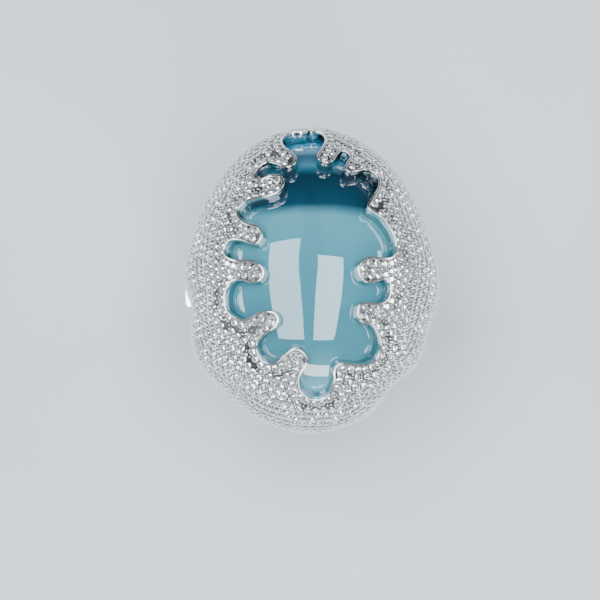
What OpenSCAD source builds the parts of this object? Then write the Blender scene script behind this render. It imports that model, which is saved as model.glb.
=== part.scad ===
// Cocktail ring: a tall blue cabochon held under a domed, stone-covered shell
// whose opening runs in drips and bays around the stone.
// Frame: origin at the centre of the finger hole, finger along Y, head up +Z.

/* [Finger band] */
// Radius of the finger hole
bore_r = 8.65; // [8:0.05:9.2]
// Width of the band along the finger
band_w = 4; // [3.4:0.1:4.6]
// Thickness of the band
band_t = 1.65; // [1.2:0.05:2]

/* [Head] */
// Half width of the head across the finger
head_a = 12.65; // [12:0.05:13.2]
// Half length of the head along the finger
head_b = 16.05; // [15.6:0.05:16.6]
// Height of the dome above its widest level
dome_h = 9.5; // [8.5:0.1:10.5]
// Fullness of the dome, 2 is an ellipsoid
dome_n = 2.3; // [2:0.05:2.6]
// Height of the widest level above the finger axis
girdle_z = 12.4; // [12.2:0.05:13]

/* [Shell] */
// Depth of the tray that the small stones stand in
tray = 0.34; // [0.3:0.01:0.36]
// Thickness of the metal under the tray
shell_t = 0.93; // [0.8:0.01:1]
// Width of the polished edge around the opening
rail_w = 0.3; // [0.2:0.02:0.34]
// How far the polished edge stands above the stones
rail_up = 0.1; // [0:0.02:0.14]

/* [Small stones] */
// Radius of a pave stone
st_r = 0.355; // [0.3:0.005:0.355]
// Distance between stones along a row
st_pitch = 0.83; // [0.8:0.01:1]
// Distance between rows
row_pitch = 0.775; // [0.775:0.005:0.95]
// Radius of the smallest filler stone
fill_r = 0.2; // [0.15:0.01:0.3]

/* [Blue stone] */
// Gap between the shell and the blue stone
cab_gap = 0.08; // [0.05:0.01:0.2]

/* [Hidden] */

n_phi = 90;          // meridians in the domed surfaces
n_ring = 17;         // rings from the crown to the lower edge
plate_z = 9.7;       // underside of the head
plate_t = 0.55;
seat_z0 = plate_z + plate_t + 0.55;
seat_z1 = girdle_z - 0.7;
seat_k = 1.9;        // seat is this much inside the head's outline
screw_at = [[7.2, 8.9], [-7.2, 8.9], [-7.2, -8.9], [7.2, -8.9]];
post_at = [[10.05, 0], [-10.05, 0], [0, 13.4], [0, -13.4]];
col_gold = [0.80, 0.80, 0.79];
col_stone = [0.93, 0.94, 0.95];

// Lobes and notches in the head's outline: angle, amount, spread
lobes = [[-3, 0.70, 17], [-31, 0.42, 8], [-46, -0.50, 9],
         [179, 0.35, 10], [190, -0.45, 6], [209, 0.75, 13]];

// The opening, anticlockwise seen from above would be a mirror of this:
// it runs clockwise from the top bay. Each line is one bay or one drip.
opening_ctrl = [
  [-0.8, 14.8], [0.1, 15.2], [1.0, 14.8], [1.5, 13.6], [1.1, 12.4],
  [0.7, 11.4], [1.1, 10.8], [1.8, 10.6], [2.4, 10.9],
  [2.7, 11.5], [3.3, 12.2], [4.1, 11.7], [3.7, 10.8],
  [3.5, 10.1], [4.0, 9.6], [4.8, 9.8],
  [5.7, 10.1], [6.6, 9.8], [7.0, 8.9], [6.7, 7.8],
  [6.1, 6.7], [5.8, 6.0], [6.1, 5.4], [6.9, 5.0],
  [7.6, 4.4], [8.5, 3.0], [8.7, 1.6], [8.2, 0.8], [7.3, 0.6],
  [6.3, 0.6], [5.4, 0.3], [4.8, -0.4], [4.8, -1.2], [5.2, -1.9], [5.9, -2.2],
  [6.9, -1.9], [7.7, -1.8], [8.1, -2.6], [7.6, -3.7], [6.7, -4.1],
  [5.6, -4.1], [4.9, -4.4], [4.7, -5.1], [4.8, -5.8], [5.3, -6.2], [6.1, -6.4],
  [6.7, -7.0], [7.1, -8.1], [6.8, -9.3], [6.0, -9.9], [5.0, -10.2], [3.8, -10.1],
  [2.8, -10.3], [2.3, -10.9],
  [2.3, -11.9], [1.8, -13.1], [0.5, -13.5], [-0.8, -12.9], [-1.1, -11.8],
  [-0.7, -11.0], [-0.2, -10.2], [-0.4, -9.5], [-0.9, -9.0], [-1.8, -8.8], [-2.7, -9.4],
  [-3.5, -10.1], [-4.8, -9.8], [-5.4, -8.5], [-4.8, -7.6],
  [-3.8, -7.0], [-3.2, -6.4], [-3.2, -5.7], [-3.8, -5.1], [-5.0, -5.1], [-6.1, -5.6],
  [-7.1, -5.6], [-8.3, -4.7], [-8.6, -3.3], [-8.1, -2.1], [-7.1, -1.8],
  [-5.8, -2.2], [-4.9, -1.9], [-4.6, -1.1], [-5.0, -0.3], [-6.0, 0.2],
  [-7.5, 0.4], [-8.5, 1.0], [-8.6, 1.9], [-8.0, 2.4], [-7.0, 2.3],
  [-5.8, 1.8], [-5.1, 2.0], [-4.8, 2.8], [-5.1, 3.6], [-5.8, 4.0],
  [-6.7, 4.4], [-7.3, 5.4], [-6.9, 6.2], [-5.9, 6.6],
  [-4.1, 6.9], [-3.1, 7.4], [-2.6, 8.3], [-3.0, 9.2], [-4.0, 9.4],
  [-5.1, 9.0], [-5.7, 9.3], [-5.4, 10.1], [-4.5, 10.8], [-3.6, 10.6],
  [-2.8, 10.2], [-2.1, 10.1], [-1.5, 10.6], [-1.4, 11.3], [-1.9, 12.0],
  [-2.6, 12.8], [-2.8, 13.8], [-2.0, 14.7]];

// ---- head surface -------------------------------------------------------
function unit(v) = v / norm(v);
function wrap(f) = f - 360 * floor((f + 180) / 360);
function lobe(f) = [for (l = lobes) l[1] * exp(-pow(wrap(f - l[0]) / l[2], 2))]
                   * [1, 1, 1, 1, 1, 1] / 13;
// how quickly the skirt tucks in under the widest level, most at the front
function tuck(f) = 0.003 + 0.0065 * pow(max(0, -sin(f)), 2);
// depth of the skirt's wavy lower edge under the widest level
function rim_d(f) = 1.95 - 0.35 * pow(max(0, -sin(f)), 2)
                  + 0.22 * sin(9 * f + 40) + 0.1 * sin(14 * f);
function rim_s(f) = 1 + rim_d(f) / 10;
// s runs 0 at the crown, 1 at the widest level, then 10 mm per unit down
function rho_s(f, s) = s <= 1 ? pow(sin(90 * max(0, s)), 2 / dome_n)
                              : 1 - tuck(f) * pow((s - 1) * 10, 2);
function z_s(s) = s <= 1 ? girdle_z + dome_h * cos(90 * s) : girdle_z - (s - 1) * 10;
function P(f, s, l = 1) = let (r = rho_s(f, s), d = l == 1 ? lobe(f) : l == 0 ? 0 : min(0, lobe(f)),
                               u = r * (1 + d * pow(r, 6)))
  [head_a * u * cos(f), head_b * u * sin(f), z_s(s)];
function N(f, s, l = 1) = s < 0.02 ? [0, 0, 1] :
  unit(cross(P(f, s + 0.004, l) - P(f, s - 0.004, l), P(f + 0.5, s, l) - P(f - 0.5, s, l)));
function Q(f, s, h, l = 1) = P(f, s, l) + h * N(f, s, l);
// plan point to surface coordinates
function f_xy(p) = atan2(p[1] / head_b, p[0] / head_a);
function rho_it(u, d, r, k) = k == 0 ? r : rho_it(u, d, u / (1 + d * pow(r, 6)), k - 1);
function s_xy(p) = let (u = norm([p[0] / head_a, p[1] / head_b]), r = rho_it(u, lobe(f_xy(p)), u, 4))
  r >= 1 ? 1 : asin(pow(r, dome_n / 2)) / 90;
function fs(p) = [f_xy(p), s_xy(p)];

// ---- curves ------------------------------------------------------------
function cr(a, b, c, d, t) = 0.5 * (2 * b + (c - a) * t + (2 * a - 5 * b + 4 * c - d) * t * t
                                    + (3 * b - a - 3 * c + d) * t * t * t);
function spline(c, k) = let (n = len(c))
  [for (i = [0:n - 1], j = [0:k - 1]) cr(c[(i + n - 1) % n], c[i], c[(i + 1) % n], c[(i + 2) % n], j / k)];
opening = spline(opening_ctrl, 3);
n_open = len(opening);
function o_pt(i) = opening[(i + n_open) % n_open];
// frame of the opening's edge: surface point, outward normal, and the way into the metal
o_frame = [for (i = [0:n_open - 1]) let (g = fs(o_pt(i)), p = P(g[0], g[1]), n = N(g[0], g[1]),
             ga = fs(o_pt(i - 1)), gb = fs(o_pt(i + 1)),
             t = unit(P(gb[0], gb[1]) - P(ga[0], ga[1])))
           [p, n, unit(cross(n, t))]];
r_frame = [for (i = [0:143]) let (f = i * 2.5, s = rim_s(f), n = N(f, s),
             t = unit(P(f + 1, rim_s(f + 1)) - P(f - 1, rim_s(f - 1))))
           [P(f, s), n, unit(cross(t, n))]];

// closed band swept along frames; sec lists [along normal, across]
module sweep(fr, sec) {
  n = len(fr); m = len(sec);
  polyhedron([for (g = fr, q = sec) g[0] + q[0] * g[1] + q[1] * g[2]],
    [for (i = [0:n - 1], j = [0:m - 1]) let (i2 = (i + 1) % n, j2 = (j + 1) % m)
       [i * m + j, i * m + j2, i2 * m + j2, i2 * m + j]], convexity = 12);
}
// cap of the head at offset h1 outside and h2 inside, down to ds above the lower edge
module dome_shell(h1, h2, ds) {
  m = n_ring; n = n_phi;
  pts = [[0, 0, girdle_z + dome_h + h1],
         for (k = [1:m], i = [0:n - 1]) let (f = i * 360 / n, s = k / m * (rim_s(f) - ds)) Q(f, s, h1),
         [0, 0, girdle_z + dome_h + h2],
         for (k = [1:m], i = [0:n - 1]) let (f = i * 360 / n, s = k / m * (rim_s(f) - ds)) Q(f, s, h2)];
  o = 1 + m * n;
  function v(k, i) = 1 + (k - 1) * n + (i % n);
  polyhedron(pts, [
    for (i = [0:n - 1]) [0, v(1, i + 1), v(1, i)],
    for (k = [1:m - 1], i = [0:n - 1]) each [[v(k, i), v(k, i + 1), v(k + 1, i + 1)], [v(k, i), v(k + 1, i + 1), v(k + 1, i)]],
    for (i = [0:n - 1]) [o, o + v(1, i), o + v(1, i + 1)],
    for (k = [1:m - 1], i = [0:n - 1]) each [[o + v(k, i), o + v(k + 1, i + 1), o + v(k, i + 1)], [o + v(k, i), o + v(k + 1, i), o + v(k + 1, i + 1)]],
    for (i = [0:n - 1]) each [[v(m, i), v(m, i + 1), o + v(m, i + 1)], [v(m, i), o + v(m, i + 1), o + v(m, i)]]
  ], convexity = 6);
}
function oval(k, n = 72) = [for (i = [0:n - 1]) [(head_a - k) * cos(i * 360 / n), (head_b - k) * sin(i * 360 / n)]];
// plan drop shape pointing outwards, for the pierced plate
function drop(l, w) = [for (i = [0:11]) let (t = i * 30) [l * cos(t) / 2, w * sin(t) / 2 * (1 - 0.45 * cos(t))]];

// ---- small stones --------------------------------------------------------
// a round stone, table up, standing on the tray
module gem(r) { translate([0, 0, -tray]) cylinder(r = r, h = tray - 0.02, $fn = 16); }
// st = [f, s, r]: table just under the polished edges
module place(st) {
  p = P(st[0], st[1]); n = N(st[0], st[1]);
  translate(p) rotate([0, acos(n[2]), atan2(n[1], n[0])]) gem(st[2]);
}
function cum(v, i = 0, acc = [0]) = i >= len(v) - 1 ? acc : cum(v, i + 1, concat(acc, acc[i] + norm(v[i + 1] - v[i])));
// n points at equal distances along a closed line of surface points
function steps(v, idx, pitch, ph) = let (c = cum(v), l = c[len(c) - 1], n = floor(l / pitch))
  [for (i = [0:n - 1]) lookup((i + ph) * l / n, [for (k = [0:len(c) - 1]) [c[k], idx[k]]])];

// first row: follows the opening just outside the polished edge
row0_off = rail_w + 0.03 + st_r;
row0_line = [for (i = [0:n_open]) let (g = o_frame[i % n_open]) g[0] + row0_off * g[2]];
function at_line(v, q) = let (i = floor(q), t = q - i, n = len(v)) v[i % n] * (1 - t) + v[(i + 1) % n] * t;
function row0_raw() = [for (q = steps(row0_line, [for (i = [0:n_open]) i], st_pitch * 0.985, 0.5))
  let (p = at_line(row0_line, min(q, n_open - 0.001)), g = fs([p[0], p[1]])) [g[0], g[1], st_r, P(g[0], g[1])]];
// keeps a stone only if it clears those before it, shrinking it if it must
function fit_r(p, acc, rmax) = min(rmax, min([for (a = acc) norm(a[3] - p) - a[2]]) - 0.055);
function keep(c, rmin, acc, i = 0) = i >= len(c) ? acc :
  let (r = len(acc) == 0 ? c[i][2] : fit_r(c[i][3], acc, c[i][2]))
  keep(c, rmin, r >= rmin ? concat(acc, [[c[i][0], c[i][1], r, c[i][3]]]) : acc, i + 1);
// distance from a surface point to the opening's edge, less the polished edge
function edge_gap(p) = min([for (g = o_frame) norm(g[0] - p)]) - rail_w - 0.03;
function inside(p) = let (n = n_open) len([for (i = [0:n - 1]) let (a = opening[i], b = opening[(i + 1) % n])
  if ((a[1] > p[1]) != (b[1] > p[1]) && p[0] < (b[0] - a[0]) * (p[1] - a[1]) / (b[1] - a[1]) + a[0]) 1]) % 2 == 1;
function row0() = let (raw = row0_raw()) keep([for (c = raw) let (e = edge_gap(c[3])) [c[0], c[1], min(c[2], e), c[3]]], 0.24, []);

// rows parallel to the lower edge, counted upwards from it
n_rows = 24;
function row_s(f, k) = let (d = rim_d(f) - 0.25 - st_r - 0.02) arc_s(f, d, k * row_pitch);
// walks up the meridian by a distance from depth d under the widest level
function arc_s(f, d, l) = l <= d ? 1 + (d - l) / 10 : lookup(l - d, mer(f));
function mer(f) = let (v = [for (i = [0:24]) P(f, 1 - i * 0.035)], c = cum(v)) [for (i = [0:24]) [c[i], 1 - i * 0.035]];
function row_line(k) = [for (i = [0:72]) row_s(i * 5, k)];
function row(k) = let (sl = row_line(k),
    v = [for (i = [0:72]) P(i * 5, sl[i])],
    ix = steps(v, [for (i = [0:72]) i * 5], st_pitch, k % 2 * 0.5))
  [for (i = [0:len(ix) - 1]) let (f = ix[i], s = lookup(f, [for (i = [0:72]) [i * 5, sl[i]]]))
    if (s > 0.15) [f, s, st_r, P(f, s)]];
// rows, clear of the opening and its first row; cut stones shrink
function clear_rows(r0, k0, k1) = [for (k = [k0:k1], c = row(k)) let (
    e = k < 5 ? 1 : inside(c[3]) ? -1 : edge_gap(c[3]),
    r = k < 5 ? st_r : e < 0.24 ? 0 : min(e, fit_r(c[3], r0, st_r))) if (r >= 0.27) [c[0], c[1], r, c[3]]];
function dome_rows(r0) = keep(clear_rows(r0, 3, n_rows), 0.24, []);
// fillers: a fine grid of places between the rows and round the opening
function fill_raw() = [for (o = [1.13, 1.45, 1.8, 2.15], q = [0:n_open - 1]) let (g = o_frame[q], p = g[0] + o * g[2], h = fs([p[0], p[1]]), c = P(h[0], h[1]))
   if (h[1] < 1) [h[0], h[1], 0.34, c]];
function fillers() = let (r0 = row0(), rr = dome_rows(r0), base = concat(r0, rr),
   cand = [for (c = fill_raw()) let (r = fit_r(c[3], base, c[2])) if (r >= fill_r && !inside(c[3])) let (e = edge_gap(c[3])) if (e >= fill_r) [c[0], c[1], min(r, e), c[3]]],
   big = [for (c = cand) if (c[2] >= 0.28) c], small = [for (c = cand) if (c[2] < 0.28) c])
   keep(concat(big, small), fill_r, []);
// stones of one quarter of the head
module zone(m) {
  r0 = row0();
  for (c = dome_rows(r0)) if (abs(wrap(c[0] + 0.001 - m)) <= 45) place(c);
}
module skirt_zone(m) { for (c = clear_rows([], 0, 2)) if (abs(wrap(c[0] + 0.001 - m)) <= 90) place(c); }

// ---- shoulders -----------------------------------------------------------
// path of a shoulder's middle in X and Z, from the band up to the head
sh_ctrl = [[8.95, -6.27], [10.95, -1.7], [12.05, 4.2], [12.4, 9.0]];
function sh_c(t) = pow(1 - t, 3) * sh_ctrl[0] + 3 * t * pow(1 - t, 2) * sh_ctrl[1]
                 + 3 * t * t * (1 - t) * sh_ctrl[2] + pow(t, 3) * sh_ctrl[3];
function sh_t(t) = unit(sh_c(min(1, t + 0.01)) - sh_c(max(0, t - 0.01)));
function sh_w(t) = band_w / 2 * (0.86 + 0.2 * t);
function sh_h(t) = 0.30 + 0.22 * min(1, 4 * t);
module shoulder(sx) {
  m = 12; k = 10;
  sec = [for (i = [0:k - 1]) let (q = (i + 0.5) * 360 / k) [sign(cos(q)) * pow(abs(cos(q)), 0.45), sign(sin(q)) * pow(abs(sin(q)), 0.45)]];
  resize([0, 0, 0])
  difference() {
    polyhedron([for (i = [0:m], q = sec) let (t = i / m, c = sh_c(t), d = sh_t(t), u = [d[1], -d[0]])
        [sx * (c[0] + u[0] * q[1] * sh_h(t)), q[0] * sh_w(t), c[1] + u[1] * q[1] * sh_h(t)]],
      [for (i = [0:m - 1], j = [0:k - 1]) let (j2 = (j + 1) % k, a = i * k + j, b = i * k + j2, c = (i + 1) * k + j2, d = (i + 1) * k + j)
         each sx > 0 ? [[a, b, c], [a, c, d]] : [[a, c, b], [a, d, c]],
       sx > 0 ? [for (j = [k - 1:-1:0]) j] : [for (j = [0:k - 1]) j],
       sx > 0 ? [for (j = [0:k - 1]) m * k + j] : [for (j = [k - 1:-1:0]) m * k + j]], convexity = 4);
    // seats for the stones
    sh_places(sx) translate([0, 0, -0.37]) cylinder(r = 0.58, h = 1, $fn = 14);
  }
}
module sh_places(sx) {
  for (i = [0:7]) let (t = 0.3 + i * 0.09, c = sh_c(t), d = sh_t(t), u = [d[1], -d[0]], p = c + u * (sh_h(t) - 0.02))
    for (y = [-0.66, 0.66])
      translate([sx * p[0], y, p[1]]) rotate([0, sx * atan2(u[0], u[1]), 0]) children();
}
module sh_gem() { translate([0, 0, -0.36]) cylinder(r = 0.56, h = 0.46, $fn = 16); }

// ---- nodes -------------------------------------------------------------------
module cabochon() {
  h = -(tray + shell_t + cab_gap); n = 72; m = 11;
  g = [for (i = [0:n - 1]) let (f = i * 360 / n) Q(f, 1, h, -1)];
  low = [[1, -0.35], [0.95, -0.7], [0.84, -0.7], [0.6, -1.15], [0.3, -1.35]];
  pts = [[0, 0, girdle_z + dome_h + h],
    for (k = [1:m], i = [0:n - 1]) Q(i * 360 / n, k / m, h, -1),
    for (q = low, i = [0:n - 1]) [g[i][0] * q[0], g[i][1] * q[0], g[i][2] + q[1]],
    [0, 0, girdle_z - 1.42]];
  w = m + len(low);
  function v(k, i) = 1 + (k - 1) * n + (i % n);
  color([0.36, 0.70, 0.80, 0.8])
  polyhedron(pts, [for (i = [0:n - 1]) [0, v(1, i + 1), v(1, i)],
    for (k = [1:w - 1], i = [0:n - 1]) each [[v(k, i), v(k, i + 1), v(k + 1, i + 1)], [v(k, i), v(k + 1, i + 1), v(k + 1, i)]],
    for (i = [0:n - 1]) [1 + w * n, v(w, i), v(w, i + 1)]], convexity = 2);
}
module cabochon_seat() color(col_gold) difference() {
  translate([0, 0, seat_z0]) linear_extrude(seat_z1 - seat_z0) difference() {
    polygon(oval(seat_k)); polygon(oval(seat_k + 1.75)); }
  for (p = screw_at) translate([p[0], p[1], seat_z0 - 1]) cylinder(r = 0.32, h = 1.5, $fn = 24);
}
module seat_posts() color(col_gold) {
  for (p = post_at) translate([p[0], p[1], plate_z + plate_t]) cylinder(r = 0.5, h = seat_z0 - plate_z - plate_t, $fn = 32);
  for (p = screw_at) translate([p[0], p[1], plate_z + plate_t]) difference() {
    cylinder(r = 0.62, h = seat_z0 - plate_z - plate_t, $fn = 32);
    translate([0, 0, -1]) cylinder(r = 0.36, h = 3, $fn = 32); }
}
module seat_screws() color(col_gold)
  for (p = screw_at) translate([p[0], p[1], plate_z]) difference() {
    union() { translate([0, 0, -0.38]) cylinder(r = 0.62, h = 0.38, $fn = 32); cylinder(r = 0.3, h = seat_z0 + 0.4 - plate_z, $fn = 24); }
    translate([-1, -0.09, -0.5]) cube([2, 0.18, 0.27]); }
module pave_shell() color(col_gold) resize([0, 0, 0]) difference() {
  dome_shell(-tray, -tray - shell_t, 0.026);
  linear_extrude(40) polygon([for (g = o_frame) let (p = g[0] - tray * g[1] + rail_w * g[2]) [p[0], p[1]]]);
}
module opening_rail() color(col_gold) sweep(o_frame,
  [[-tray - shell_t, 0], [rail_up - 0.06, 0], [rail_up, 0.06], [rail_up, rail_w - 0.06], [rail_up - 0.06, rail_w], [-tray - shell_t, rail_w]]);
module skirt_rail() color(col_gold) sweep(r_frame,
  [[-tray - shell_t, -0.25], [rail_up - 0.1, -0.25], [rail_up, -0.12], [rail_up, 0.12], [rail_up - 0.12, 0.25], [-tray - shell_t, 0.25]]);
module gallery_plate() color(col_gold) translate([0, 0, plate_z]) difference() {
  linear_extrude(plate_t) polygon(oval(seat_k - 0.3));
  for (i = [0:15]) let (t = i * 22.5 + 11.25, p = [8.3 * cos(t), 11.6 * sin(t)])
    if (min([for (q = screw_at) norm(q - p)]) > 1.6) translate([p[0], p[1], -1]) rotate(atan2(p[1], p[0])) linear_extrude(3) polygon(drop(2.6, 2.0));
  for (i = [0:9]) let (t = i * 36, p = [4.6 * cos(t), 7.3 * sin(t)])
    if (abs(p[1]) > 2.6) translate([p[0], p[1], -1]) rotate(atan2(p[1], p[0])) linear_extrude(3) polygon(drop(2.7, 2.1));
  for (p = screw_at) translate([p[0], p[1], -1]) cylinder(r = 0.36, h = 3, $fn = 32);
}
module gallery_rim() color(col_gold) translate([0, 0, plate_z]) linear_extrude(0.42) difference() {
  polygon(oval(seat_k - 1.1)); polygon(oval(seat_k - 0.3)); }
module shank() color(col_gold) difference() {
  rotate([90, 0, 0]) rotate_extrude($fn = 128) let (w = band_w / 2, r0 = bore_r, r1 = bore_r + band_t)
    polygon([[r0, -w + 0.4], [r0 + 0.15, -w + 0.15], [r0 + 0.5, -w], [r1 - 0.4, -w + 0.08], [r1 - 0.1, -w + 0.4], [r1, -w + 0.8],
             [r1, w - 0.8], [r1 - 0.1, w - 0.4], [r1 - 0.4, w - 0.08], [r0 + 0.5, w], [r0 + 0.15, w - 0.15], [r0, w - 0.4]]);
  translate([-8, -8, plate_z]) cube([16, 16, 5]);
}
module shoulder_left() color(col_gold) shoulder(-1);
module shoulder_right() color(col_gold) shoulder(1);
module opening_row_stones() color(col_stone) for (c = row0()) place(c);
module stones_right() color(col_stone) zone(0);
module stones_back() color(col_stone) zone(90);
module stones_left() color(col_stone) zone(180);
module stones_front() color(col_stone) zone(270);
module skirt_stones_right() color(col_stone) skirt_zone(0);
module skirt_stones_left() color(col_stone) skirt_zone(180);
module filler_stones() color(col_stone) for (c = fillers()) place(c);
module shoulder_stones_left() color(col_stone) sh_places(-1) sh_gem();
module shoulder_stones_right() color(col_stone) sh_places(1) sh_gem();

cabochon();
cabochon_seat();
seat_posts();
seat_screws();
pave_shell();
opening_rail();
skirt_rail();
gallery_plate();
gallery_rim();
shank();
shoulder_left();
shoulder_right();
opening_row_stones();
stones_right();
stones_back();
stones_left();
stones_front();
skirt_stones_right();
skirt_stones_left();
filler_stones();
shoulder_stones_left();
shoulder_stones_right();
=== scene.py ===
import bpy, math
import numpy as np
from mathutils import Vector, Matrix
from mathutils.geometry import delaunay_2d_cdt


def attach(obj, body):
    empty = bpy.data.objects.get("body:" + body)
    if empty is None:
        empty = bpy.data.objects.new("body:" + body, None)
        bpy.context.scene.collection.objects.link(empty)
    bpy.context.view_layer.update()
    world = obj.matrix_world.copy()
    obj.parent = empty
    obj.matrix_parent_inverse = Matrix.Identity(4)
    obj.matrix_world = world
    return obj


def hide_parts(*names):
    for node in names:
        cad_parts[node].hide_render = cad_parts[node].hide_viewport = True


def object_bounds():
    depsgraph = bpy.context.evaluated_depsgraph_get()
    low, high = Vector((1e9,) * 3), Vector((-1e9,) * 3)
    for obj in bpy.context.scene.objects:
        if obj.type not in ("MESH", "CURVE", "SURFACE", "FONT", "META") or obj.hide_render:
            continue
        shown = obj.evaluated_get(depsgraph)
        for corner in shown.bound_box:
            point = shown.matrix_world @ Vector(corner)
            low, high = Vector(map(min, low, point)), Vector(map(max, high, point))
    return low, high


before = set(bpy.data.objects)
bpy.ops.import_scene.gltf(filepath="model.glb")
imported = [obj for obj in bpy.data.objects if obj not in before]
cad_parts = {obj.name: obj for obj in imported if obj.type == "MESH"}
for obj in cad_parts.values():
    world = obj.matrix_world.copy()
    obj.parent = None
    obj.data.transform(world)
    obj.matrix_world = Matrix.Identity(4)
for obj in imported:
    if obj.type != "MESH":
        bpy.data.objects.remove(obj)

CAD_BOX = [list(v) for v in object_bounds()]
MM = 0.001
rng = np.random.default_rng(7)

# ---- the head's surface, as the CAD has it, in millimetres ------------------------
A, B, H, NN, GZ = 12.65, 16.05, 9.5, 2.3, 12.4
TRAY, SHT, RAIL_W, RAIL_UP, CGAP = 0.34, 0.93, 0.3, 0.1, 0.08
PLATE_Z = 9.7
LOBES = [(-3, .70, 17), (-31, .42, 8), (-46, -.50, 9), (179, .35, 10), (190, -.45, 6), (209, .75, 13)]
CTRL = [(-0.8,14.8),(0.1,15.2),(1.0,14.8),(1.5,13.6),(1.1,12.4),(0.7,11.4),(1.1,10.8),(1.8,10.6),(2.4,10.9),
 (2.7,11.5),(3.3,12.2),(4.1,11.7),(3.7,10.8),(3.5,10.1),(4.0,9.6),(4.8,9.8),(5.7,10.1),(6.6,9.8),(7.0,8.9),(6.7,7.8),
 (6.1,6.7),(5.8,6.0),(6.1,5.4),(6.9,5.0),(7.6,4.4),(8.5,3.0),(8.7,1.6),(8.2,0.8),(7.3,0.6),
 (6.3,0.6),(5.4,0.3),(4.8,-0.4),(4.8,-1.2),(5.2,-1.9),(5.9,-2.2),(6.9,-1.9),(7.7,-1.8),(8.1,-2.6),(7.6,-3.7),(6.7,-4.1),
 (5.6,-4.1),(4.9,-4.4),(4.7,-5.1),(4.8,-5.8),(5.3,-6.2),(6.1,-6.4),(6.7,-7.0),(7.1,-8.1),(6.8,-9.3),(6.0,-9.9),(5.0,-10.2),(3.8,-10.1),
 (2.8,-10.3),(2.3,-10.9),(2.3,-11.9),(1.8,-13.1),(0.5,-13.5),(-0.8,-12.9),(-1.1,-11.8),
 (-0.7,-11.0),(-0.2,-10.2),(-0.4,-9.5),(-0.9,-9.0),(-1.8,-8.8),(-2.7,-9.4),(-3.5,-10.1),(-4.8,-9.8),(-5.4,-8.5),(-4.8,-7.6),
 (-3.8,-7.0),(-3.2,-6.4),(-3.2,-5.7),(-3.8,-5.1),(-5.0,-5.1),(-6.1,-5.6),(-7.1,-5.6),(-8.3,-4.7),(-8.6,-3.3),(-8.1,-2.1),(-7.1,-1.8),
 (-5.8,-2.2),(-4.9,-1.9),(-4.6,-1.1),(-5.0,-0.3),(-6.0,0.2),(-7.5,0.4),(-8.5,1.0),(-8.6,1.9),(-8.0,2.4),(-7.0,2.3),
 (-5.8,1.8),(-5.1,2.0),(-4.8,2.8),(-5.1,3.6),(-5.8,4.0),(-6.7,4.4),(-7.3,5.4),(-6.9,6.2),(-5.9,6.6),
 (-4.1,6.9),(-3.1,7.4),(-2.6,8.3),(-3.0,9.2),(-4.0,9.4),(-5.1,9.0),(-5.7,9.3),(-5.4,10.1),(-4.5,10.8),(-3.6,10.6),
 (-2.8,10.2),(-2.1,10.1),(-1.5,10.6),(-1.4,11.3),(-1.9,12.0),(-2.6,12.8),(-2.8,13.8),(-2.0,14.7)]

def wrap(f): return (f + 180) % 360 - 180
def lobe(f):
    return sum(a * np.exp(-(wrap(f - c) / w) ** 2) for c, a, w in LOBES) / 13
def tuck(f): return 0.003 + 0.0065 * np.maximum(0, -np.sin(np.radians(f))) ** 2
def rim_s(f):
    r = np.radians(f)
    return 1 + (1.95 - 0.35 * np.maximum(0, -np.sin(r)) ** 2 + 0.22 * np.sin(9 * r + np.radians(40)) + 0.1 * np.sin(14 * r)) / 10
def P(f, s, l=1):
    f, s = np.asarray(f, float), np.asarray(s, float)
    sc = np.clip(s, 0, 1)
    up = np.sin(np.pi / 2 * sc) ** (2 / NN)
    d = np.maximum(s - 1, 0) * 10
    rho = np.where(s <= 1, up, 1 - tuck(f) * d * d)
    z = np.where(s <= 1, GZ + H * np.cos(np.pi / 2 * sc), GZ - d)
    dl = lobe(f) if l == 1 else np.minimum(0, lobe(f))
    u = rho * (1 + dl * rho ** 6)
    r = np.radians(f)
    return np.stack([A * u * np.cos(r), B * u * np.sin(r), z], -1)
def N(f, s, l=1):
    f, s = np.asarray(f, float), np.asarray(s, float)
    ss = np.maximum(s, 0.02)
    v = np.cross(P(f, ss + .004, l) - P(f, ss - .004, l), P(f + .5, ss, l) - P(f - .5, ss, l))
    v = v / np.linalg.norm(v, axis=-1, keepdims=True)
    return np.where((s < 0.02)[..., None], np.array([0, 0, 1.0]), v)
def Q(f, s, h, l=1): return P(f, s, l) + np.asarray(h)[..., None] * N(f, s, l)
def fs_xy(x, y):
    f = np.degrees(np.arctan2(y / B, x / A))
    u = np.hypot(x / A, y / B)
    r, d = u.copy(), lobe(f)
    for _ in range(5): r = u / (1 + d * r ** 6)
    return f, np.where(r >= 1, 1, np.degrees(np.arcsin(np.minimum(r, 1) ** (NN / 2))) / 90)
def spline(c, k):
    c = np.array(c); out = []
    for i in range(len(c)):
        a, b, d, e = c[i - 1], c[i], c[(i + 1) % len(c)], c[(i + 2) % len(c)]
        for j in range(k):
            t = j / k
            out.append(0.5 * (2 * b + (d - a) * t + (2 * a - 5 * b + 4 * d - e) * t * t + (3 * b - a - 3 * d + e) * t ** 3))
    return np.array(out)

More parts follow.
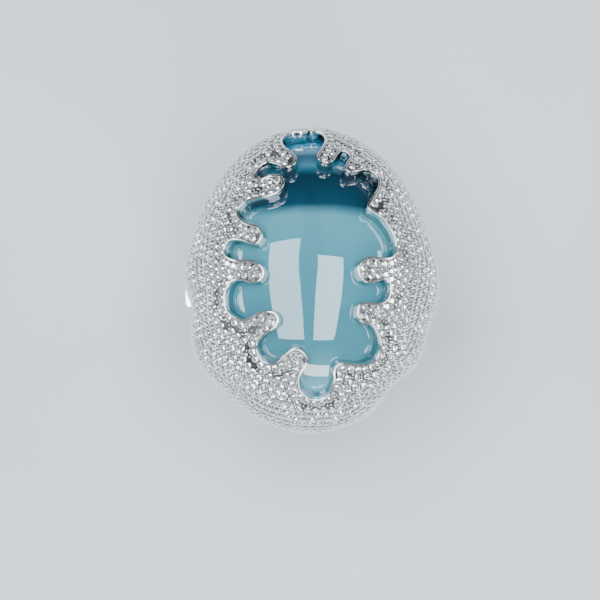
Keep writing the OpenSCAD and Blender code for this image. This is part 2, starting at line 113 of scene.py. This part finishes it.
# ---- mesh helpers -----------------------------------------------------------------
def make(name, verts, faces, mat, smooth=True, nodes=()):
    me = bpy.data.meshes.new(name)
    me.from_pydata([tuple(v) for v in np.asarray(verts) * MM], [], [tuple(int(i) for i in f) for f in faces])
    me.validate(); me.update()
    me.polygons.foreach_set("use_smooth", [smooth] * len(me.polygons))
    o = bpy.data.objects.new(name, me)
    bpy.context.scene.collection.objects.link(o)
    me.materials.append(mat)
    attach(o, "root")
    if nodes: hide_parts(*nodes)
    return o
def ring_faces(n, m, closed=True):
    return [(i * m + j, i * m + (j + 1) % m, ((i + 1) % n) * m + (j + 1) % m, ((i + 1) % n) * m + j)
            for i in range(n if closed else n - 1) for j in range(m)]
def sweep(name, P0, N0, T0, sec, mat, nodes, flip=False):
    sec = np.array(sec)
    v = (P0[:, None] + sec[None, :, :1] * N0[:, None] + sec[None, :, 1:] * T0[:, None]).reshape(-1, 3)
    fs = ring_faces(len(P0), len(sec))
    if flip: fs = [f[::-1] for f in fs]
    return make(name, v, fs, mat, True, nodes)
def closed_frames(C, Nn):
    t = np.roll(C, -1, 0) - np.roll(C, 1, 0); t /= np.linalg.norm(t, axis=1, keepdims=True)
    w = np.cross(Nn, t)
    return w / np.linalg.norm(w, axis=1, keepdims=True)

# ---- materials ----------------------------------------------------------------------
def mat(name):
    m = bpy.data.materials.new(name); m.use_nodes = True
    nt = m.node_tree; return m, nt, nt.nodes["Principled BSDF"]
def noise(nt, scale, detail=4):
    tc = nt.nodes.new("ShaderNodeTexCoord"); n = nt.nodes.new("ShaderNodeTexNoise")
    n.inputs["Scale"].default_value = scale; n.inputs["Detail"].default_value = detail
    nt.links.new(tc.outputs["Object"], n.inputs["Vector"]); return n
def ramp(nt, src, p0, c0, p1, c1):
    r = nt.nodes.new("ShaderNodeValToRGB")
    r.color_ramp.elements[0].position = p0; r.color_ramp.elements[0].color = c0
    r.color_ramp.elements[1].position = p1; r.color_ramp.elements[1].color = c1
    nt.links.new(src, r.inputs["Fac"]); return r
def gold(name, c0, c1, r0, r1, bump, scale):
    m, nt, b = mat(name)
    b.inputs["Metallic"].default_value = 1
    n = noise(nt, scale)
    nt.links.new(ramp(nt, n.outputs["Fac"], .35, (*c0, 1), .65, (*c1, 1)).outputs["Color"], b.inputs["Base Color"])
    nt.links.new(ramp(nt, noise(nt, scale * 3).outputs["Fac"], .3, (r0,) * 3 + (1,), .7, (r1,) * 3 + (1,)).outputs["Color"], b.inputs["Roughness"])
    bp = nt.nodes.new("ShaderNodeBump"); bp.inputs["Strength"].default_value = bump; bp.inputs["Distance"].default_value = 0.00002
    nt.links.new(noise(nt, scale * 6).outputs["Fac"], bp.inputs["Height"]); nt.links.new(bp.outputs["Normal"], b.inputs["Normal"])
    return m
M_POL = gold("white_gold_polished", (.80, .80, .79), (.86, .86, .85), .07, .13, .15, 900)
# Shell metal: the same white gold as the polished parts, with its base colour darkened to 0.10-0.30 as painted shade
# between and under the stones.
M_SHELL_PAINTED_SHADE = gold("white_gold_painted_shade_under_stones", (.10, .10, .10), (.30, .30, .29), .25, .42, .5, 2500)
M_BEAD = gold("white_gold_grains", (.70, .70, .69), (.85, .85, .84), .12, .22, .1, 2000)
def diamond():
    m, nt, b = mat("colourless_brilliant")
    n = noise(nt, 1300, 2)
    nt.links.new(ramp(nt, n.outputs["Fac"], .36, (.74, .75, .77, 1), .56, (.98, .985, .99, 1)).outputs["Color"], b.inputs["Base Color"])
    b.inputs["Metallic"].default_value = 0.82
    nt.links.new(ramp(nt, noise(nt, 2600, 1).outputs["Fac"], .3, (.02,) * 3 + (1,), .7, (.09,) * 3 + (1,)).outputs["Color"], b.inputs["Roughness"])
    b.inputs["IOR"].default_value = 2.4
    return m
M_DIA = diamond()
def topaz():
    m, nt, b = mat("sky_blue_topaz_painted_reflection")
    tc = nt.nodes.new("ShaderNodeTexCoord"); sx = nt.nodes.new("ShaderNodeSeparateXYZ"); nt.links.new(tc.outputs["Object"], sx.inputs[0])
    n = noise(nt, 120, 3)
    ad = nt.nodes.new("ShaderNodeMath"); ad.operation = "MULTIPLY_ADD"; ad.inputs[1].default_value = .0012
    nt.links.new(n.outputs["Fac"], ad.inputs[0]); nt.links.new(sx.outputs["Y"], ad.inputs[2])
    mr = nt.nodes.new("ShaderNodeMapRange"); mr.inputs["From Min"].default_value = -.016; mr.inputs["From Max"].default_value = .016
    nt.links.new(ad.outputs[0], mr.inputs["Value"])
    cr = nt.nodes.new("ShaderNodeValToRGB"); e = cr.color_ramp.elements
    # Base colour runs along the stone's Y. The middle is the stone's own teal. A near-black band from y 6.9 to 10.2 mm
    # is a painted reflection of a dark surround. Lighter and darker bands near both ends are painted light refracted at
    # the stone's edge. Noise wobbles the band edges.
    painted_reflection_stops = [(-13.6, (.03, .22, .45)), (-12.4, (.05, .30, .52)), (-11.6, (.22, .58, .68)), (-8, (.07, .30, .37)), (0, (.075, .33, .42)),
             (5.6, (.11, .40, .48)), (6.9, (.012, .06, .10)), (10.2, (.009, .042, .072)), (11.4, (.05, .26, .38)), (12.4, (.02, .13, .22)), (13.6, (.05, .36, .58))]
    while len(e) < len(painted_reflection_stops): e.new(.5)
    for el_, (y_, c_) in zip(e, painted_reflection_stops):
        el_.position = (y_ + 16) / 32; el_.color = (*c_, 1)
    nt.links.new(mr.outputs[0], cr.inputs["Fac"]); nt.links.new(cr.outputs["Color"], b.inputs["Base Color"])
    b.inputs["Roughness"].default_value = 0.0
    b.inputs["IOR"].default_value = 1.62
    b.inputs["Transmission Weight"].default_value = 0.35
    b.inputs["Coat Weight"].default_value = 0.6
    b.inputs["Coat Roughness"].default_value = 0.0
    return m
M_TOP = topaz()

# ---- stones: read each disc's place and facing from the CAD -----------------------------
def discs(o):
    me = o.data; n = len(me.vertices)
    co = np.empty(n * 3); me.vertices.foreach_get("co", co); co = co.reshape(-1, 3) / MM
    me.calc_loop_triangles(); t = np.empty(len(me.loop_triangles) * 3, int)
    me.loop_triangles.foreach_get("vertices", t); t = t.reshape(-1, 3)
    _, inv = np.unique(np.round(co, 4), axis=0, return_inverse=True); inv = inv.reshape(-1)
    t = inv[t]; par = np.arange(inv.max() + 1)
    def find(a):
        while par[a] != a:
            par[a] = par[par[a]]; a = par[a]
        return a
    for a, b, c in t:
        ra, rb, rc = find(a), find(b), find(c); par[rb] = ra; par[rc] = ra
    pos = np.zeros((inv.max() + 1, 3)); pos[inv] = co
    root = np.array([find(i) for i in range(len(par))]); out = []
    tr = root[t[:, 0]]
    for r in np.unique(root):
        vs = pos[root == r]; ts = t[tr == r]
        e = np.cross(pos[ts[:, 1]] - pos[ts[:, 0]], pos[ts[:, 2]] - pos[ts[:, 0]])
        c = (vs.max(0) + vs.min(0)) / 2
        ar = np.linalg.norm(e, axis=1); u = e[ar > 1e-9] / ar[ar > 1e-9][:, None]; ar = ar[ar > 1e-9]
        sc = (np.abs(u @ u.T) > 0.9995) @ ar
        ax = u[np.argmax(sc)]
        c = vs.mean(0)
        if ax @ (c - np.array([0, 0, 6.0])) < 0: ax = -ax
        h = (vs - c) @ ax; rad = np.linalg.norm((vs - c) - h[:, None] * ax, axis=1).max()
        out.append((c + ax * h.max(), ax, rad))
    return out
def gem_template():
    """A round brilliant of radius 1, girdle at z 0, with its table, stars, bezels, girdle facets and pavilion."""
    v = [(.55 * math.cos(math.radians(a)), .55 * math.sin(math.radians(a)), .32) for a in range(0, 360, 45)]
    v += [(.80 * math.cos(math.radians(a + 22.5)), .80 * math.sin(math.radians(a + 22.5)), .19) for a in range(0, 360, 45)]
    v += [(math.cos(math.radians(a)), math.sin(math.radians(a)), .02) for a in np.arange(0, 360, 22.5)]
    v += [(math.cos(math.radians(a)), math.sin(math.radians(a)), -.04) for a in np.arange(0, 360, 22.5)]
    v += [(0, 0, -.86)]
    f = [tuple(range(8))]
    for i in range(8):
        j = (i + 1) % 8; g = 16 + 2 * i
        g0, g1, g2 = g, g + 1, 16 + (2 * i + 2) % 16
        f += [(i, 8 + i, j), (i, g0, 8 + i), (8 + i, g0, g1), (8 + i, g1, g2), (j, 8 + i, g2)]
    for k in range(16):
        a, b = 16 + k, 16 + (k + 1) % 16
        f += [(a, a + 16, b + 16, b), (a + 16, 48, b + 16)]
    return np.array(v), f
GV, GF = gem_template()
STONES = []
def basis(ax):
    h = np.array([0, 0, 1.0]) if abs(ax[2]) < .9 else np.array([1.0, 0, 0])
    x = np.cross(h, ax); x /= np.linalg.norm(x); return x, np.cross(ax, x)
def gems(name, nodes, grow=1.05, lift=0.03):
    vs, fs = [], []
    for nd in nodes:
        for top, ax, r in discs(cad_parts[nd]):
            if grow > 1.02: STONES.append((top, ax, r * grow))
            x, y = basis(ax); a = rng.uniform(0, 6.28)
            tl = ax + (x * rng.normal() + y * rng.normal()) * 0.035; tl /= np.linalg.norm(tl)
            x, y = basis(tl); x2 = x * math.cos(a) + y * math.sin(a); y2 = np.cross(tl, x2)
            rr = r * grow; k = len(vs) * len(GV)
            vs.append((top + ax * (lift - .32 * rr))[None] + rr * (GV[:, :1] * x2 + GV[:, 1:2] * y2 + GV[:, 2:] * tl))
            fs += [tuple(i + k for i in f) for f in GF]
    return make(name, np.concatenate(vs), fs, M_DIA, False, nodes)
for nm in ("opening_row_stones", "stones_right", "stones_back", "stones_left", "stones_front",
           "skirt_stones_right", "skirt_stones_left", "filler_stones"):
    gems(nm + "_cut", (nm,))
head_stones = list(STONES)
for nm in ("shoulder_stones_left", "shoulder_stones_right"): gems(nm + "_cut", (nm,), 1.0, 0.02)

# ---- opening rail, skirt rail ---------------------------------------------------------
O = spline(CTRL, 8)
of, os_ = fs_xy(O[:, 0], O[:, 1])
OP, ON = P(of, os_), N(of, os_)
OT = closed_frames(OP, ON)
def rounded(h0, h1, w0, w1, r, n=5):
    pts = [(h0, w0)]
    pts += [(h1 - r + r * math.sin(t), w0 + r - r * math.cos(t)) for t in np.linspace(0, math.pi / 2, n)]
    pts += [(h1 - r + r * math.cos(t), w1 - r + r * math.sin(t)) for t in np.linspace(0, math.pi / 2, n)]
    return pts + [(h0, w1), (h0, (w0 + w1) / 2)]
sweep("opening_edge", OP, ON, OT, rounded(-TRAY - SHT, RAIL_UP, 0, RAIL_W, .11), M_POL, ("opening_rail",))
RF = np.arange(0, 360, .5); RS = rim_s(RF); RP, RN = P(RF, RS), N(RF, RS); RT = -closed_frames(RP, RN)
sweep("skirt_edge", RP, RN, RT, rounded(-TRAY - SHT, RAIL_UP, -.25, .25, .2, 7), M_POL, ("skirt_rail",), True)

# ---- shell: triangulated between the opening and the lower edge, in a flat chart ---------
SH_UP = -0.17
def chart(f, s): return np.stack([s * np.cos(np.radians(f)), s * np.sin(np.radians(f))], -1)
E = OP[::2] + (RAIL_W - .03) * OT[::2]
ef, es = fs_xy(E[:, 0], E[:, 1]); ein = chart(ef, es)
rf = np.arange(0, 360, 1.5); rout = chart(rf, rim_s(rf) - .024)
pts, rings = [], 46
for k in range(6, rings):
    n = max(24, int(k * 7)); ff = (np.arange(n) + .5 * (k % 2)) * 360 / n
    pts.append(chart(ff, k / rings * (rim_s(ff) - .024) * .995))
pts = np.concatenate(pts)
allp = np.concatenate([ein, rout, pts]); n1, n2 = len(ein), len(rout)
edges = [(i, (i + 1) % n1) for i in range(n1)] + [(n1 + i, n1 + (i + 1) % n2) for i in range(n2)]
res = delaunay_2d_cdt([Vector(p) for p in allp], edges, [], 0, 1e-7)
cv = np.array([tuple(v) for v in res[0]]); cf = [f for f in res[2]]
def in_poly(poly, q):
    x, y = q[:, 0], q[:, 1]; c = np.zeros(len(q), bool); a = poly; b = np.roll(poly, -1, 0)
    for (x0, y0), (x1, y1) in zip(a, b):
        if y0 == y1: continue
        c ^= ((y0 > y) != (y1 > y)) & (x < (x1 - x0) * (y - y0) / (y1 - y0) + x0)
    return c
cen = np.array([cv[list(f)].mean(0) for f in cf])
ok = ~in_poly(ein, cen) & in_poly(rout, cen)
cf = [f for f, k in zip(cf, ok) if k]
used = sorted({i for f in cf for i in f}); ren = {u: i for i, u in enumerate(used)}
cv = cv[used]; cf = [tuple(ren[i] for i in f) for f in cf]
a2 = lambda f: np.cross(cv[f[1]] - cv[f[0]], cv[f[2]] - cv[f[0]])
cf = [f if a2(f) > 0 else f[::-1] for f in cf]
vf, vs_ = np.degrees(np.arctan2(cv[:, 1], cv[:, 0])), np.hypot(cv[:, 0], cv[:, 1])
top, bot = Q(vf, vs_, np.full(len(cv), SH_UP)), Q(vf, vs_, np.full(len(cv), -TRAY - SHT + .02))
cnt = {}
for f in cf:
    for a, b in zip(f, f[1:] + f[:1]): cnt[(a, b)] = 1
side = [(b, a, a + len(cv), b + len(cv)) for a, b in cnt if (b, a) not in cnt]
# The shell gets the darkened white gold: painted shade between the stones.
make("shell_metal", np.concatenate([top, bot]), cf + [tuple(i + len(cv) for i in f[::-1]) for f in cf] + side, M_SHELL_PAINTED_SHADE, True, ("pave_shell",))

# ---- grains: small raised beads in the gaps between three stones ------------------------
sp = np.array([s[0] for s in head_stones]); sr = np.array([s[2] for s in head_stones])
sn = np.array([s[1] for s in head_stones])
zz = np.clip((sp[:, 2] - GZ) / H, -1, 1)
sang = np.degrees(np.arctan2(sp[:, 1] / B, sp[:, 0] / A))
ss = np.where(sp[:, 2] > GZ, np.degrees(np.arccos(zz)) / 90, 1 + (GZ - sp[:, 2]) / 10)
sc = chart(sang, ss)
tri = delaunay_2d_cdt([Vector(p) for p in sc], [], [], 0, 1e-9)
orig = [o[0] if len(o) else -1 for o in tri[3]]
bv, bf, nb = [], [], 0
HB = [(0, 0, 1)] + [(math.sin(e) * math.cos(a), math.sin(e) * math.sin(a), math.cos(e)) for e in (.55, 1.1, 1.6) for a in np.arange(0, 6.28, math.pi / 4)]
HB = np.array(HB)
HF = [(0, 1 + i, 1 + (i + 1) % 8) for i in range(8)] + [(1 + 8 * k + i, 9 + 8 * k + i, 9 + 8 * k + (i + 1) % 8, 1 + 8 * k + (i + 1) % 8) for k in (0, 1) for i in range(8)] + [tuple(range(24, 16, -1))]
for f in tri[2]:
    ids = [orig[i] for i in f]
    if min(ids) < 0: continue
    p = sp[ids]; w = p.mean(0)
    for _ in range(12):
        d = p - w; L = np.linalg.norm(d, axis=1); g = L - sr[ids]
        w = w + ((g - g.mean())[:, None] * d / L[:, None]).mean(0) * 1.2
    g = np.linalg.norm(p - w, axis=1) - sr[ids]
    if g.max() > .34 or g.min() < .015: continue
    r = min(.115, g.mean() + .035); ax = sn[ids].mean(0); ax /= np.linalg.norm(ax)
    x, y = basis(ax)
    bv.append((w - ax * .12)[None] + r * (HB[:, :1] * x + HB[:, 1:2] * y + HB[:, 2:] * ax * 1.1))
    bf += [tuple(i + nb * len(HB) for i in q) for q in HF]; nb += 1
make("setting_grains", np.concatenate(bv), bf, M_BEAD, True)
print("stones", len(head_stones), "grains", nb)

# ---- blue stone ----------------------------------------------------------------------------
hc = -(TRAY + SHT + CGAP); nf, nr = 180, 60
ff = np.arange(nf) * 360 / nf
v = [np.array([[0, 0, GZ + H + hc]])] + [Q(ff, np.full(nf, k / nr), np.full(nf, hc), -1) for k in range(1, nr + 1)]
g = v[-1]
for k, dz in ((1, -.12), (1, -.3), (.985, -.42), (.955, -.66), (.93, -.7), (.84, -.7), (.82, -.72), (.7, -.98), (.55, -1.18), (.35, -1.34), (.15, -1.4)):
    v.append(g * [k, k, 1] + [0, 0, dz])
v.append(np.array([[0, 0, GZ - 1.42]]))
m = len(v) - 2
fc = [(0, 1 + i, 1 + (i + 1) % nf) for i in range(nf)]
fc += [(1 + k * nf + i, 1 + (k + 1) * nf + i, 1 + (k + 1) * nf + (i + 1) % nf, 1 + k * nf + (i + 1) % nf) for k in range(m - 1) for i in range(nf)]
fc += [(1 + m * nf, 1 + (m - 1) * nf + (i + 1) % nf, 1 + (m - 1) * nf + i) for i in range(nf)]
make("blue_cabochon", np.concatenate(v), fc, M_TOP, True, ("cabochon",))

# ---- finger band: soft-edged, flat where it meets the head ---------------------------------
def lathe():
    w, r0, r1 = 2.0, 8.65, 8.65 + 1.65
    prof = []
    for cx, cy, r, a0 in ((r1 - .75, w - .8, .75, 0), (r0 + .35, w - .36, .35, 90), (r0 + .35, -w + .36, .35, 180), (r1 - .75, -w + .8, .75, 270)):
        prof += [(cx + r * math.cos(math.radians(a0 + t)), cy + r * math.sin(math.radians(a0 + t))) for t in np.linspace(0, 90, 9)]
    prof = np.array(prof); n = 256; vs = []
    for i in range(n):
        t = 2 * math.pi * i / n
        p = np.stack([prof[:, 0] * math.cos(t), prof[:, 1], prof[:, 0] * math.sin(t)], -1)
        p[:, 2] = np.minimum(p[:, 2], PLATE_Z - .002); vs.append(p)
    return np.concatenate(vs), ring_faces(n, len(prof))
v, fc = lathe(); make("finger_band", v, fc, M_POL, True, ("shank",))

# ---- the other CAD pieces keep their shape ----------------------------------------------------
for nm in ("cabochon_seat", "seat_posts", "seat_screws", "gallery_plate", "gallery_rim", "shoulder_left", "shoulder_right"):
    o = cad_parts[nm]; o.data.materials.clear(); o.data.materials.append(M_POL)

# ---- floor, light, camera ------------------------------------------------------------------------
def plane(name, size, loc, rot, m):
    me = bpy.data.meshes.new(name); s = size
    me.from_pydata([(-s[0], -s[1], 0), (s[0], -s[1], 0), (s[0], s[1], 0), (-s[0], s[1], 0)], [], [(0, 1, 2, 3)])
    o = bpy.data.objects.new(name, me); bpy.context.scene.collection.objects.link(o)
    o.location = loc; o.rotation_euler = rot; me.materials.append(m); return o
mf, nt, b = mat("floor"); b.inputs["Roughness"].default_value = .6
nt.links.new(ramp(nt, noise(nt, 40).outputs["Fac"], .3, (.70, .70, .71, 1), .7, (.74, .74, .75, 1)).outputs["Color"], b.inputs["Base Color"])
plane("floor", (1.5, 1.5), (0, 0, CAD_BOX[0][2] - .00002), (0, 0, 0), mf)

def area(name, direction, dist, sx, sy, power, col=(1, 1, 1)):
    L = bpy.data.lights.new(name, "AREA"); L.shape = "RECTANGLE"; L.size = sx; L.size_y = sy; L.energy = power; L.color = col
    o = bpy.data.objects.new(name, L); bpy.context.scene.collection.objects.link(o)
    d = Vector(direction).normalized(); o.location = d * dist + Vector((0, 0, .015))
    y = (Vector((0, 1, 0)) - d * d.y).normalized() if abs(d.y) < .9 else Vector((0, 0, 1))
    x = y.cross(d).normalized(); y = d.cross(x)
    o.rotation_euler = Matrix((x, y, d)).transposed().to_euler(); return o
area("soft_left", (-.29, -.03, 1), .5, .20, .42, 2.6, (.80, .92, 1))
area("soft_right", (.21, -.09, 1), .5, .155, .36, 2.0, (.80, .92, 1))
area("key_front", (.2, -1, .8), .6, .3, .12, 1.4)
area("side_left", (-1, .1, .5), .6, .12, .3, 1.0)
area("side_right", (1, .1, .5), .6, .12, .3, 1.0)
mk, ntk, bk = mat("flag"); bk.inputs["Roughness"].default_value = .9
ntk.links.new(ramp(ntk, noise(ntk, 8).outputs["Fac"], .3, (.004, .006, .012, 1), .7, (.006, .009, .016, 1)).outputs["Color"], bk.inputs["Base Color"])
d = Vector((0, .80, .60)).normalized()
plane("flag_back", (.30, .10), d * .34, (-d).to_track_quat("Z", "Y").to_euler(), mk)
w = bpy.data.worlds.new("w"); bpy.context.scene.world = w; w.use_nodes = True
w.node_tree.nodes["Background"].inputs["Color"].default_value = (.9, .93, 1, 1)
w.node_tree.nodes["Background"].inputs["Strength"].default_value = .32

el, D, K = math.radians(78), .430, 9720.0
back = Vector((0, -math.cos(el), math.sin(el))); up = Vector((0, math.sin(el), math.cos(el)))
T = Vector((0, 0, .0135)) - Vector((1, 0, 0)) * (10 / K) - up * (22.3 / K)
cam = bpy.data.cameras.new("cam"); co = bpy.data.objects.new("cam", cam); bpy.context.scene.collection.objects.link(co)
co.location = T + back * D; co.rotation_euler = (el - math.pi / 2 + 0, 0, 0)
co.rotation_euler = (-back).to_track_quat("-Z", "Y").to_euler()
cam.sensor_width = 36; cam.lens = K * D / 600 * 36; cam.clip_start = .01; cam.clip_end = 10
bpy.context.scene.camera = co
